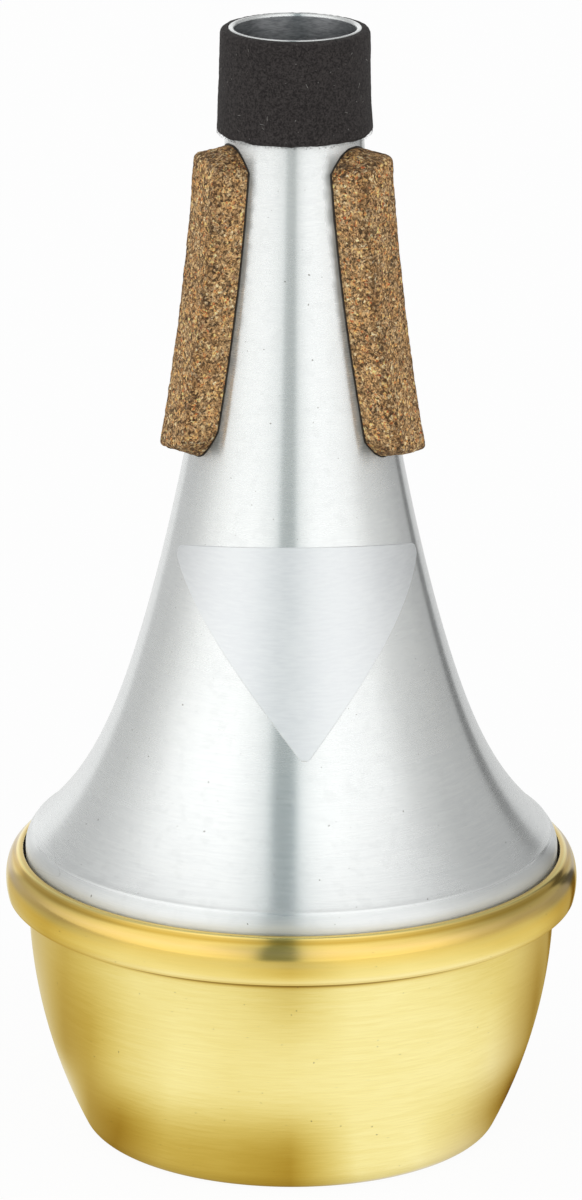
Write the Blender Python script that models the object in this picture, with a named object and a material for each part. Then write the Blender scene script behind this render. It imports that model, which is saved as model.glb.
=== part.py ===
"""Straight mute for a trumpet, at its real size, standing on its base.

The frame: metres, +Z up along the mute's axis, origin at the centre of the flat
base. The open neck is at the top. Two of the cork strips face -Y, one each side
of the middle, and the third faces +Y.

The body is one aluminium spinning: a straight neck that flares out to a skirt.
The skirt ends in a flange, which sits on a shelf inside the bead of the brass
bowl. A ring of sealant closes the space between the skirt and the bead.
"""

import math

import bmesh
import bpy
import numpy as np
from mathutils import Matrix, Vector

# Body: heights are measured from the seam, the top edge of the bowl's bead
BODY_RISE = 0.1303
BODY_WALL = 0.0008
NECK_RADIUS = 0.01008
FLARE_RADIUS = 0.04043
FLARE_FOOT = 0.0030
TAPER_SHARE = 0.767
TAPER_POWER = 1.934
BELL_POWER = 13.9
SHOULDER_RADIUS = 0.0032

# Bowl and the bead around its mouth
SEAM_HEIGHT = 0.0450
BOWL_WALL = 0.0008
BOWL_SIDE_RADIUS = 0.0825
BOWL_CORNER_RADIUS = 0.0022
SEAM_OPENING = 0.0006
BEAD_WIDTH = 0.0025
BEAD_CROWN = 0.0046
BEAD_HEIGHT = 0.0071
BEAD_LEAN = 0.00028
BEAD_FOLD_RADIUS = 0.0005
SHELF_WIDTH = 0.0035

# Sealant: how far up the inside of the bead's arch it reaches, in degrees
SEALANT_RISE_ANGLE = 60.0

# Felt sleeve around the neck
SLEEVE_SETBACK = 0.0004
SLEEVE_LENGTH = 0.0156
SLEEVE_THICKNESS = 0.0010
SLEEVE_EDGE_RADIUS = 0.0004

# Cork strips: each one's azimuth, how many degrees its foot is turned past its top, and the
# side of it whose corners are cut back further
CORKS = {
    "cork_left": (-149.0, 0.0, 1),
    "cork_right": (-29.0, 5.0, -1),
    "cork_rear": (90.0, 0.0, 1),
}
CORK_BELOW_SLEEVE = 0.0013
CORK_LENGTH = 0.0478
CORK_WIDTH = 0.0088
CORK_THICKNESS = 0.0045
CORK_CROWN = 0.0002
CORK_SEAT_LONG_CUT = 0.0034
CORK_SEAT_SHORT_CUT = 0.0014
CORK_SEAT_CUT_POWER = 2.3
CORK_FACE_LONG_CUT = 0.0024
CORK_FACE_SHORT_CUT = 0.0011

# Blank three-cornered label
LABEL_AZIMUTH = -81.3
LABEL_BELOW_CORKS = 0.0112
LABEL_WIDTH = 0.0466
LABEL_HEIGHT = 0.0325
LABEL_TILT = 0.5
LABEL_CORNER_RADIUS = 0.0012
LABEL_THICKNESS = 0.00025

# Space left between pieces that touch on the real mute
FIT_GAP = 0.0003

# Fineness of the solids
ROUND_STEPS = 56
OUTER_FLARE_STEPS = 15
INNER_FLARE_STEPS = 11
CROWDING = 1.7
SHOULDER_STEPS = 3
BEAD_STEPS = 5
FOLD_STEPS = 2
BOWL_SIDE_STEPS = 6
CORNER_STEPS = 3
SLEEVE_STEPS = 3
CORK_STEPS_ACROSS = 6
CORK_STEPS_ALONG = 9
LABEL_STEPS_ACROSS = 16
LABEL_STEPS_DOWN = 7
LABEL_CORNER_STEPS = 3
MERIDIAN_STEPS = 200
MERGE_DISTANCE = 1e-6
SHARP_ANGLE = math.radians(30)

FRAME_NAME = "mute_frame"

# Heights and radii that follow
RIM_HEIGHT = SEAM_HEIGHT + BODY_RISE
FLARE_FOOT_HEIGHT = SEAM_HEIGHT + FLARE_FOOT
FLARE_LENGTH = RIM_HEIGHT - FLARE_FOOT_HEIGHT
SHELF_HEIGHT = SEAM_HEIGHT - BEAD_HEIGHT
SLEEVE_TOP = RIM_HEIGHT - SLEEVE_SETBACK
SLEEVE_BOTTOM = SLEEVE_TOP - SLEEVE_LENGTH
CORK_TOP = SLEEVE_BOTTOM - CORK_BELOW_SLEEVE
CORK_BOTTOM = CORK_TOP - CORK_LENGTH
LABEL_TOP = CORK_BOTTOM - LABEL_BELOW_CORKS


def body_radius(height):
    """Outside radius of the neck and flare at a height above the base."""
    u = np.clip((RIM_HEIGHT - height) / FLARE_LENGTH, 0.0, None)
    swell = TAPER_SHARE * u**TAPER_POWER + (1 - TAPER_SHARE) * u**BELL_POWER
    return NECK_RADIUS + (FLARE_RADIUS - NECK_RADIUS) * swell


def body_slope(height):
    """How fast the body's outside radius grows as the height falls."""
    u = np.clip((RIM_HEIGHT - height) / FLARE_LENGTH, 0.0, None)
    taper = TAPER_SHARE * TAPER_POWER * u ** (TAPER_POWER - 1)
    bell = (1 - TAPER_SHARE) * BELL_POWER * u ** (BELL_POWER - 1)
    return (FLARE_RADIUS - NECK_RADIUS) * (taper + bell) / FLARE_LENGTH


def off_body(height, distance):
    """Radius and height of a point at a distance out of the body's outside face."""
    slope = body_slope(height)
    length = math.hypot(1, slope)
    return body_radius(height) + distance / length, height + distance * slope / length


FLARE_ANGLE = math.atan(body_slope(FLARE_FOOT_HEIGHT))
SKIRT_RADIUS = FLARE_RADIUS + SHOULDER_RADIUS * (1 - math.cos(FLARE_ANGLE))
BEAD_EDGE_RADIUS = SKIRT_RADIUS + SEAM_OPENING
BEAD_RADIUS = BEAD_EDGE_RADIUS + BEAD_WIDTH
BEAD_FOOT_RADIUS = BEAD_RADIUS - BEAD_LEAN
BOWL_RADIUS = BEAD_RADIUS - SHELF_WIDTH


def arc(centre, radii, start, end, steps):
    """Points on an ellipse's arc, from one angle to another, in degrees."""
    angles = np.radians(np.linspace(start, end, steps + 1))
    return [
        (centre[0] + radii[0] * math.cos(a), centre[1] + radii[1] * math.sin(a))
        for a in angles
    ]


def flare_heights(steps):
    """Heights down the flare, closer together where it curves most."""
    down = 1 - (1 - np.linspace(0, 1, steps + 1)) ** CROWDING
    return RIM_HEIGHT - down * FLARE_LENGTH


def shoulder(offset, steps):
    """The roll from the flare's foot into the upright skirt."""
    centre_radius = SKIRT_RADIUS - SHOULDER_RADIUS
    centre_height = FLARE_FOOT_HEIGHT - SHOULDER_RADIUS * math.sin(FLARE_ANGLE)
    radius = SHOULDER_RADIUS - offset
    turn = math.degrees(FLARE_ANGLE)
    return arc((centre_radius, centre_height), (radius, radius), turn, 0, steps)


def clean_object(name, bm, material):
    """Turn a bmesh into a smooth-shaded object, its faces out, under the mute's own frame."""
    bmesh.ops.recalc_face_normals(bm, faces=bm.faces)
    mesh = bpy.data.meshes.new(name)
    bm.to_mesh(mesh)
    bm.free()
    mesh.shade_smooth()
    mesh.set_sharp_from_angle(angle=SHARP_ANGLE)
    mesh.materials.append(material)
    obj = bpy.data.objects.new(name, mesh)
    obj.parent = bpy.data.objects[FRAME_NAME]
    bpy.context.scene.collection.objects.link(obj)
    return obj


def turned(name, profile, material):
    """Spin a closed outline of (radius, height) points about the axis."""
    bm = bmesh.new()
    verts = [bm.verts.new((radius, 0, height)) for radius, height in profile]
    edges = [bm.edges.new(pair) for pair in zip(verts, verts[1:] + verts[:1])]
    bmesh.ops.spin(
        bm,
        geom=verts + edges,
        cent=(0, 0, 0),
        axis=(0, 0, 1),
        angle=math.tau,
        steps=ROUND_STEPS,
        use_merge=True,
    )
    bmesh.ops.remove_doubles(bm, verts=bm.verts, dist=MERGE_DISTANCE)
    bmesh.ops.dissolve_degenerate(bm, edges=bm.edges, dist=MERGE_DISTANCE)
    return clean_object(name, bm, material)


def shell_from_grids(name, inner, outer, material):
    """A closed slab between two grids of points with the same rows and columns."""
    bm = bmesh.new()
    low = [[bm.verts.new(p) for p in row] for row in inner]
    high = [[bm.verts.new(p) for p in row] for row in outer]
    rows, columns = len(low), len(low[0])
    for i in range(rows - 1):
        for j in range(columns - 1):
            for grid in (low, high):
                corners = (grid[i][j], grid[i][j + 1], grid[i + 1][j + 1], grid[i + 1][j])
                bm.faces.new(corners)
    rim = [(0, j) for j in range(columns)]
    rim += [(i, columns - 1) for i in range(1, rows)]
    rim += [(rows - 1, j) for j in range(columns - 2, -1, -1)]
    rim += [(i, 0) for i in range(rows - 2, 0, -1)]
    for (i, j), (k, m) in zip(rim, rim[1:] + rim[:1]):
        bm.faces.new((low[i][j], low[k][m], high[k][m], high[i][j]))
    bmesh.ops.remove_doubles(bm, verts=bm.verts, dist=MERGE_DISTANCE)
    bmesh.ops.dissolve_degenerate(bm, edges=bm.edges, dist=MERGE_DISTANCE)
    return clean_object(name, bm, material)


def finish(name, color, metallic, roughness):
    """A plain Principled material."""
    material = bpy.data.materials.new(name)
    material.use_nodes = True
    shader = material.node_tree.nodes["Principled BSDF"]
    shader.inputs["Base Color"].default_value = (*color, 1)
    shader.inputs["Metallic"].default_value = metallic
    shader.inputs["Roughness"].default_value = roughness
    return material


def make_body():
    """Neck, flare, shoulder and skirt, with the flange that the bowl holds."""
    outside = [(body_radius(h), h) for h in flare_heights(OUTER_FLARE_STEPS)]
    outside += shoulder(0, SHOULDER_STEPS)[1:]
    flange_bottom = SHELF_HEIGHT + BOWL_WALL + FIT_GAP
    flange_top = flange_bottom + BODY_WALL
    flange_radius = BEAD_FOOT_RADIUS - BOWL_WALL - FIT_GAP
    outside += [
        (SKIRT_RADIUS, flange_top),
        (flange_radius, flange_top),
        (flange_radius, flange_bottom),
    ]
    inside = [off_body(h, -BODY_WALL) for h in flare_heights(INNER_FLARE_STEPS)]
    inside[0] = (NECK_RADIUS - BODY_WALL, RIM_HEIGHT)
    inside += shoulder(BODY_WALL, SHOULDER_STEPS)[1:]
    inside += [(SKIRT_RADIUS - BODY_WALL, flange_bottom)]
    material = finish("spun_aluminium", (0.80, 0.80, 0.79), 1.0, 0.32)
    turned("cone_body", outside + inside[::-1], material)


def bowl_side(offset):
    """The bowl's rounded side and base corner, drawn in by an offset."""
    side = BOWL_SIDE_RADIUS - offset
    corner = BOWL_CORNER_RADIUS
    side_centre = (BOWL_RADIUS - BOWL_SIDE_RADIUS, SHELF_HEIGHT)
    reach = BOWL_SIDE_RADIUS - corner
    drop = SHELF_HEIGHT - corner
    corner_centre = (side_centre[0] + math.sqrt(reach**2 - drop**2), corner)
    turn = math.degrees(math.asin(drop / reach))
    points = arc(side_centre, (side, side), 0, -turn, BOWL_SIDE_STEPS)
    corner_size = corner - offset
    rounding = arc(corner_centre, (corner_size, corner_size), -turn, -90, CORNER_STEPS)
    return points + rounding[1:]


def make_bowl():
    """Brass bowl with the hollow bead rolled around its mouth."""
    bead_centre = (BEAD_EDGE_RADIUS, SEAM_HEIGHT - BEAD_CROWN)
    fold = BEAD_FOLD_RADIUS
    fold_centre = (BEAD_FOOT_RADIUS - fold, SHELF_HEIGHT + fold)
    outside = arc(bead_centre, (BEAD_WIDTH, BEAD_CROWN), 90, 0, BEAD_STEPS)
    outside += arc(fold_centre, (fold, fold), 0, -90, FOLD_STEPS)
    outside += bowl_side(0)
    outside += [(0, 0)]
    inner_bead = (BEAD_WIDTH - BOWL_WALL, BEAD_CROWN - BOWL_WALL)
    inside = arc(bead_centre, inner_bead, 90, 0, BEAD_STEPS)
    shelf_top = SHELF_HEIGHT + BOWL_WALL
    inside += [(BEAD_FOOT_RADIUS - BOWL_WALL, shelf_top)]
    inside += [(BOWL_RADIUS - BOWL_WALL, shelf_top)]
    inside += bowl_side(BOWL_WALL)[1:]
    inside += [(0, BOWL_WALL)]
    material = finish("spun_brass", (0.72, 0.56, 0.20), 1.0, 0.30)
    turned("bowl_bottom", outside + inside[::-1], material)


def make_sealant():
    """Ring of sealant between the skirt and the inside of the bead."""
    bottom = SHELF_HEIGHT + BOWL_WALL + BODY_WALL + 2 * FIT_GAP
    crown_base = SEAM_HEIGHT - BEAD_CROWN
    inner = SKIRT_RADIUS + FIT_GAP
    width = BEAD_WIDTH - BOWL_WALL - FIT_GAP
    height = BEAD_CROWN - BOWL_WALL - FIT_GAP
    centre = (BEAD_EDGE_RADIUS, crown_base)
    curve = arc(centre, (width, height), 0, SEALANT_RISE_ANGLE, BEAD_STEPS)
    foot = (BEAD_FOOT_RADIUS - BOWL_WALL - FIT_GAP, bottom)
    profile = [(inner, curve[-1][1])] + curve[::-1] + [foot, (inner, bottom)]
    material = finish("sealant", (0.05, 0.05, 0.05), 0.0, 0.6)
    turned("seam_sealant", profile, material)


def make_sleeve():
    """Felt sleeve that follows the neck, with softly rounded outer edges."""
    heights = np.linspace(SLEEVE_TOP, SLEEVE_BOTTOM, SLEEVE_STEPS + 1)
    inside = [(body_radius(h) + FIT_GAP, h) for h in heights]
    edge = SLEEVE_EDGE_RADIUS
    face = FIT_GAP + SLEEVE_THICKNESS
    top_centre = (body_radius(SLEEVE_TOP - edge) + face - edge, SLEEVE_TOP - edge)
    foot_centre = (body_radius(SLEEVE_BOTTOM + edge) + face - edge, SLEEVE_BOTTOM + edge)
    outside = arc(top_centre, (edge, edge), 90, 0, FOLD_STEPS)
    outside += [(body_radius(h) + face, h) for h in heights[1:-1]]
    outside += arc(foot_centre, (edge, edge), 0, -90, FOLD_STEPS)
    material = finish("black_felt", (0.02, 0.019, 0.018), 0.0, 0.95)
    turned("neck_sleeve", outside + inside[::-1], material)


def cork_cuts(across):
    """How far a strip's end is cut back at its seat and at its face, from side to side."""
    edge = CORK_SEAT_LONG_CUT if across > 0 else CORK_SEAT_SHORT_CUT
    seat = edge * abs(across) ** CORK_SEAT_CUT_POWER
    face = (CORK_FACE_LONG_CUT + CORK_FACE_SHORT_CUT) / 2
    face += (CORK_FACE_LONG_CUT - CORK_FACE_SHORT_CUT) / 2 * across
    return seat, face


def cork_height(share, cut):
    """Height of a point a share of the way up a strip whose ends are cut back."""
    return CORK_BOTTOM + cut + (CORK_LENGTH - 2 * cut) * share


def cork_grids(lean, long_side):
    """Inner and outer faces of a cork strip that faces +X."""
    inner, outer = [], []
    for share in np.linspace(0, 1, CORK_STEPS_ALONG + 1):
        turn = Matrix.Rotation(math.radians(lean) * (0.5 - share), 3, "Z")
        inner_row, outer_row = [], []
        for across in np.linspace(-1, 1, CORK_STEPS_ACROSS + 1):
            side = across * CORK_WIDTH / 2
            seat_cut, face_cut = cork_cuts(across * long_side)
            seat_height = cork_height(share, seat_cut)
            seat = math.sqrt((body_radius(seat_height) + FIT_GAP) ** 2 - side**2)
            inner_row.append(turn @ Vector((seat, side, seat_height)))
            face_height = cork_height(share, face_cut)
            thickness = CORK_THICKNESS - CORK_CROWN * across**2
            face = body_radius(face_height) + FIT_GAP + thickness
            outer_row.append(turn @ Vector((face, side, face_height)))
        inner.append(inner_row)
        outer.append(outer_row)
    return inner, outer


def make_corks():
    """Three cork strips, spaced around the neck."""
    material = finish("cork", (0.42, 0.27, 0.15), 0.0, 0.85)
    for name, (azimuth, lean, long_side) in CORKS.items():
        strip = shell_from_grids(name, *cork_grids(lean, long_side), material)
        strip.rotation_euler.z = math.radians(azimuth)


def label_outline():
    """Half-widths down a three-cornered label with rounded corners."""
    radius = LABEL_CORNER_RADIUS
    half = LABEL_WIDTH / 2 - radius
    lean = math.atan2(half, LABEL_HEIGHT - 2 * radius)
    turn = math.degrees(lean)
    top = arc((half, radius), (radius, radius), -90, turn, LABEL_CORNER_STEPS)
    tip = arc((0, LABEL_HEIGHT - radius), (radius, radius), turn, 90, LABEL_CORNER_STEPS)
    steps = np.linspace(0, 1, LABEL_STEPS_DOWN + 1)[1:-1]
    (a, b), (c, d) = top[-1], tip[0]
    side = [(a + (c - a) * s, b + (d - b) * s) for s in steps]
    return top + side + tip


def wrap_point(across, down, distance, meridian):
    """Where a flat label's point lands once it is laid on the flare."""
    top_radius = body_radius(LABEL_TOP)
    lean = math.atan(body_slope(LABEL_TOP))
    to_apex = top_radius / math.sin(lean)
    slant = math.hypot(across, to_apex + down)
    turn = math.atan2(across, to_apex + down)
    height = float(np.interp(slant - to_apex, *meridian))
    azimuth = turn * slant / body_radius(height)
    radius, level = off_body(height, distance)
    return radius * math.cos(azimuth), radius * math.sin(azimuth), level


def make_label():
    """Thin blank label, laid on the flare with its point down."""
    heights = np.linspace(LABEL_TOP, FLARE_FOOT_HEIGHT, MERIDIAN_STEPS)
    radii = body_radius(heights)
    lengths = np.hypot(np.diff(heights), np.diff(radii))
    meridian = (np.concatenate([[0], np.cumsum(lengths)]), heights)
    tilt = Matrix.Rotation(math.radians(LABEL_TILT), 2)
    middle = Vector((0, LABEL_HEIGHT / 3))
    face = FIT_GAP + LABEL_THICKNESS
    inner, outer = [], []
    for half, drop in label_outline():
        row = [Vector((x, drop)) for x in np.linspace(-half, half, LABEL_STEPS_ACROSS + 1)]
        row = [tilt @ (point - middle) + middle for point in row]
        inner.append([wrap_point(x, down, FIT_GAP, meridian) for x, down in row])
        outer.append([wrap_point(x, down, face, meridian) for x, down in row])
    material = finish("label_foil", (0.70, 0.71, 0.71), 0.6, 0.35)
    label = shell_from_grids("label", inner, outer, material)
    label.rotation_euler.z = math.radians(LABEL_AZIMUTH)


for old in list(bpy.data.objects):
    bpy.data.objects.remove(old)
frame = bpy.data.objects.new(FRAME_NAME, None)
bpy.context.scene.collection.objects.link(frame)
make_body()
make_bowl()
make_sealant()
make_sleeve()
make_corks()
make_label()
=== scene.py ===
import math
import random

import bmesh
import bpy
import numpy as np
from mathutils import Matrix, Vector, noise


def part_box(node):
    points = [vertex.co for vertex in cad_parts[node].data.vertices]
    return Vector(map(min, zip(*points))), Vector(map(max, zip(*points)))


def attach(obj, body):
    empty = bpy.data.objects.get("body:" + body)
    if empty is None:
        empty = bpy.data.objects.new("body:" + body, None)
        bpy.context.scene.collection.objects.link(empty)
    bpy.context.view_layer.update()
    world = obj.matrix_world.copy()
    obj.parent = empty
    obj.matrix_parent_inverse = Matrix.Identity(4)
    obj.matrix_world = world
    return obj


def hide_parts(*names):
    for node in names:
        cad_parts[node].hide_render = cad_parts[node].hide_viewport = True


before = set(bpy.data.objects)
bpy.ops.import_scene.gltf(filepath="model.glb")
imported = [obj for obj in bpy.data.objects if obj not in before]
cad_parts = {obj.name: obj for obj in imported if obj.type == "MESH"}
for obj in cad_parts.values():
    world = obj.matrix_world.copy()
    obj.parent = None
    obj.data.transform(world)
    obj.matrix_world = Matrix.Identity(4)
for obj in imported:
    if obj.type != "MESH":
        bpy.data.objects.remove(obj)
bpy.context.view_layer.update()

# Photograph's frame, in pixels
PHOTO_WIDTH = 582
PHOTO_HEIGHT = 1200

# Camera, fitted to the photograph's ellipses
CAMERA_AZIMUTH = -85.8
CAMERA_DISTANCE = 1.0
CAMERA_ABOVE_RIM = 0.21655
CAMERA_PITCH = 17.061
CAMERA_ROLL = 0.25
CAMERA_YAW = 0.014
FOCAL_PIXELS = 6768.1
SENSOR_WIDTH = 36.0

# Mute's sizes, in metres
BODY_RISE = 0.1303
BODY_WALL = 0.0008
NECK_RADIUS = 0.01008
FLARE_RADIUS = 0.04043
FLARE_FOOT = 0.0030
TAPER_SHARE = 0.767
TAPER_POWER = 1.934
BELL_POWER = 13.9
SHOULDER_RADIUS = 0.0032
SEAM_HEIGHT = 0.0450
BOWL_WALL = 0.0008
BOWL_SIDE_RADIUS = 0.0825
BOWL_CORNER_RADIUS = 0.0022
SEAM_OPENING = 0.0006
BEAD_WIDTH = 0.0025
BEAD_CROWN = 0.0046
BEAD_HEIGHT = 0.0072
BEAD_LEAN = 0.00028
BEAD_FOLD_RADIUS = 0.00022
SHELF_WIDTH = 0.0035
BEAD_LIP_RADIUS = 0.0002
BEAD_GROOVE = 0.00010
BEAD_GROOVE_OUT = 0.00125
BEAD_GROOVE_REACH = 0.00035
BEAD_BAND_SWELL = 0.00007
RIM_EDGE_RADIUS = 0.0002
RIM_LIP = 0.0008
RIM_LIP_RADIUS = 0.0004
RIM_LIP_DEPTH = 0.0030
CREASE_HEIGHT = 0.00009
CREASE_REACH = 0.0003

FELT_SETBACK = 0.00008
FELT_LENGTH = 0.0159
FELT_THICKNESS = 0.0013
FELT_EDGE_RADIUS = 0.0009
FELT_TOP_WAVE = 0.00012
LINT_HAIRS = 40
LINT_WIDTH = 0.00006

CORK_WIDTH = 0.0088
CORK_EDGE_RADIUS = 0.0010
CORK_SEAT_EDGE_RADIUS = 0.00015
CORK_SEAT_POWER = 2.3
CORK_ARRIS_REACH = 0.0022
CORK_GLUE = 0.00012
CORK_CORNER = 0.0024

# Each strip: its azimuth, how many degrees its foot is turned past its top, its thickness, the
# side that faces the camera, and the millimetres cut off each end: at the seat in the middle,
# at the seat's near and far edge, and at the face's near and far edge
CORKS = {
    "left": {
        "azimuth": -149.0,
        "lean": 0.0,
        "thickness": 0.0046,
        "swell": 0.0003,
        "near": 1,
        "cuts": ((0.0, 3.4, 1.5, 2.4, 1.2), (0.0, 4.6, 1.6, 2.4, 1.0)),
    },
    "right": {
        "azimuth": -29.0,
        "lean": 5.0,
        "thickness": 0.0049,
        "swell": 0.0003,
        "near": -1,
        "cuts": ((0.0, 3.4, 1.2, 2.4, 1.0), (0.4, 3.4, 1.4, 2.2, 1.0)),
    },
    "rear": {
        "azimuth": 90.0,
        "lean": 0.0,
        "thickness": 0.0046,
        "swell": 0.0003,
        "near": 1,
        "cuts": ((0.0, 3.2, 1.5, 2.2, 1.2), (0.0, 3.2, 1.5, 2.2, 1.2)),
    },
}

LABEL_AZIMUTH = -81.3
LABEL_BELOW_CORKS = 0.0112
LABEL_WIDTH = 0.0466
LABEL_HEIGHT = 0.0325
LABEL_TILT = 0.5
LABEL_CORNER_RADIUS = 0.0012
LABEL_THICKNESS = 0.00010
LABEL_LIFT = 0.00002
LABEL_BEVEL = 0.00010

HAZY_METAL = 0.8
# Painted reflection: the brass turns to this pale tint at its grazing edges, over these facing ranges
PAINTED_EDGE_REFLECTION = (0.91, 0.83, 0.67)
BOWL_EDGE_REFLECTION_FADE = (0.42, 0.96, 0.0, 1.0)
BEAD_EDGE_REFLECTION_FADE = (0.58, 0.96, 0.0, 1.0)
MATT_FOOT = (0.0474, 0.0479, 0.10, 0.0)
# How far the painted shade beside the cork strips reaches
CORK_SHADE_REACH = 0.0019

PIT_SCALE = 2100.0
PIT_LIMIT = 0.862

ROUND_STEPS = 256
MM = 0.001

# Studio: brightness by bearing, in degrees to the right of the camera
BEARINGS = (
    -180, -160, -146, -141, -120, -100, -80, -60, -40, -20, 0, 20,
    40, 60, 80, 100, 120, 135, 137, 145, 147, 160, 180,
)
LOW_WALL = (
    1.00, 1.00, 0.94, 0.52, 0.62, 0.94, 1.25, 1.42, 1.42, 1.42, 1.42, 1.42,
    1.42, 1.31, 0.80, 0.53, 0.46, 0.44, 0.10, 0.10, 0.58, 0.75, 1.00,
)
HIGH_WALL = (
    0.44, 0.50, 0.55, 0.38, 0.44, 0.76, 1.19, 1.26, 1.31, 1.13, 1.38, 1.42,
    1.20, 1.04, 0.57, 0.38, 0.33, 0.33, 0.12, 0.12, 0.38, 0.40, 0.44,
)
WALL_BLEND = (0.15, 0.55)
CEILING_LEVEL = 1.10
CEILING_POWER = 3.0

# Gap between the lamps, by bearing. It keeps its width over the top of the mute
GAP_STOPS = (
    (-40.0, 1.00), (-26.0, 0.91), (-17.0, 0.79), (-14.5, 0.65), (-10.5, 0.22),
    (1.0, 0.25), (4.5, 0.67), (8.0, 0.82), (15.0, 0.92), (28.0, 1.00),
)
GAP_OVERHEAD = 0.38
GAP_OVERHEAD_POWER = 4.0
GAP_RED_POWER = 1.15
GAP_BLUE_POWER = 0.97
CEILING_TO_REAR = (-0.26, 0.04)
CEILING_REAR_LEVEL = 0.60

# Floor, and how bright it looks in the metal
FLOOR_HALF_SIZE = 6.0
FLOOR_COLOR = (0.88, 0.88, 0.88)
FLOOR_WHITE_TO_CAMERA = 0.95
NEAR_FLOOR = (
    0.76, 0.91, 0.98, 0.98, 0.94, 0.73, 0.34, 0.22, 0.49, 0.45, 0.32, 0.96,
    1.00, 0.70, 0.30, 0.04, 0.02, 0.18, 0.24, 0.30, 0.36, 0.55, 0.76,
)
MIDDLE_FLOOR = (
    0.81, 0.82, 0.75, 0.73, 0.57, 0.36, 0.43, 0.79, 0.99, 0.91, 0.94, 1.00,
    1.00, 1.00, 0.90, 0.50, 0.24, 0.36, 0.32, 0.32, 0.56, 0.71, 0.81,
)
FAR_FLOOR = (
    0.85, 0.85, 0.80, 0.56, 0.54, 0.48, 0.72, 0.92, 0.90, 0.84, 0.60, 0.97,
    1.00, 0.91, 0.75, 0.69, 0.42, 0.38, 0.10, 0.10, 0.55, 0.66, 0.85,
)
NEAR_TO_MIDDLE = (0.036, 0.055)
MIDDLE_TO_FAR = (0.065, 0.120)
WARMTH_FADE = (0.12, 0.25)

RIM_HEIGHT = SEAM_HEIGHT + BODY_RISE
FLARE_FOOT_HEIGHT = SEAM_HEIGHT + FLARE_FOOT
FLARE_LENGTH = RIM_HEIGHT - FLARE_FOOT_HEIGHT
SHELF_HEIGHT = SEAM_HEIGHT - BEAD_HEIGHT


# The camera

def make_camera():
    azimuth = math.radians(CAMERA_AZIMUTH)
    place = Vector((math.cos(azimuth), math.sin(azimuth), 0)) * CAMERA_DISTANCE
    place.z = RIM_HEIGHT + CAMERA_ABOVE_RIM
    data = bpy.data.cameras.new("photo_camera")
    data.sensor_width = SENSOR_WIDTH
    data.lens = FOCAL_PIXELS / PHOTO_HEIGHT * SENSOR_WIDTH
    camera = bpy.data.objects.new("photo_camera", data)
    turn = Matrix.Rotation(azimuth + math.pi / 2 + math.radians(CAMERA_YAW), 4, "Z")
    tilt = Matrix.Rotation(math.pi / 2 - math.radians(CAMERA_PITCH), 4, "X")
    roll = Matrix.Rotation(math.radians(CAMERA_ROLL), 4, "Z")
    camera.matrix_world = Matrix.Translation(place) @ turn @ tilt @ roll
    bpy.context.scene.collection.objects.link(camera)
    bpy.context.scene.camera = camera


# Node helpers

class Nodes:
    """A short way to write a node tree."""

    def __init__(self, tree):
        self.tree = tree
        tree.nodes.clear()

    def add(self, kind, inputs=None, **settings):
        node = self.tree.nodes.new(kind)
        for key, value in settings.items():
            setattr(node, key, value)
        for key, value in (inputs or {}).items():
            self.feed(node.inputs[key], value)
        return node

    def feed(self, socket, value):
        if isinstance(value, bpy.types.NodeSocket):
            self.tree.links.new(value, socket)
        else:
            socket.default_value = value

    def math(self, operation, *values, clamp=False):
        node = self.add("ShaderNodeMath", operation=operation, use_clamp=clamp)
        for socket, value in zip(node.inputs, values):
            self.feed(socket, value)
        return node.outputs[0]

    def vector(self, operation, *values):
        node = self.add("ShaderNodeVectorMath", operation=operation)
        for socket, value in zip(node.inputs, values):
            self.feed(socket, value)
        return node.outputs["Value" if operation in ("DOT_PRODUCT", "LENGTH") else "Vector"]

    def mix(self, factor, low, high, blend="MIX"):
        node = self.add("ShaderNodeMix", data_type="RGBA", blend_type=blend)
        self.feed(node.inputs[0], factor)
        self.feed(node.inputs[6], low)
        self.feed(node.inputs[7], high)
        return node.outputs[2]

    def noise(self, vector, scale, detail=2.0, roughness=0.5):
        return self.add(
            "ShaderNodeTexNoise",
            {"Vector": vector, "Scale": scale, "Detail": detail, "Roughness": roughness},
        ).outputs["Fac"]

    def span(self, value, low, high, to_low=0.0, to_high=1.0, smooth=True):
        node = self.add(
            "ShaderNodeMapRange",
            {"Value": value, "From Min": low, "From Max": high, "To Min": to_low, "To Max": to_high},
            interpolation_type="SMOOTHSTEP" if smooth else "LINEAR",
        )
        return node.outputs["Result"]

    def ramp(self, value, stops):
        node = self.add("ShaderNodeValToRGB", {"Fac": value})
        elements = node.color_ramp.elements
        while len(elements) < len(stops):
            elements.new(0.5)
        for element, (position, color) in zip(elements, stops):
            element.position = position
            element.color = (*color, 1)
        return node.outputs["Color"]


def new_material(name):
    material = bpy.data.materials.new(name)
    material.use_nodes = True
    return material, Nodes(material.node_tree)


def close_material(nodes, shader):
    nodes.add("ShaderNodeOutputMaterial", {"Surface": shader.outputs[0]})


def ring_coordinates(nodes, around, along):
    """Coordinates that run slowly around the axis and fast along it, with no seam."""
    place = nodes.add("ShaderNodeTexCoord").outputs["Object"]
    parts = nodes.add("ShaderNodeSeparateXYZ", {"Vector": place})
    flat = nodes.add("ShaderNodeCombineXYZ", {"X": parts.outputs["X"], "Y": parts.outputs["Y"]})
    unit = nodes.vector("NORMALIZE", flat.outputs[0])
    ring = nodes.add("ShaderNodeSeparateXYZ", {"Vector": unit})
    return nodes.add(
        "ShaderNodeCombineXYZ",
        {
            "X": nodes.math("MULTIPLY", ring.outputs["X"], around),
            "Y": nodes.math("MULTIPLY", ring.outputs["Y"], around),
            "Z": nodes.math("MULTIPLY", parts.outputs["Z"], along),
        },
    ).outputs[0], place
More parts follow.
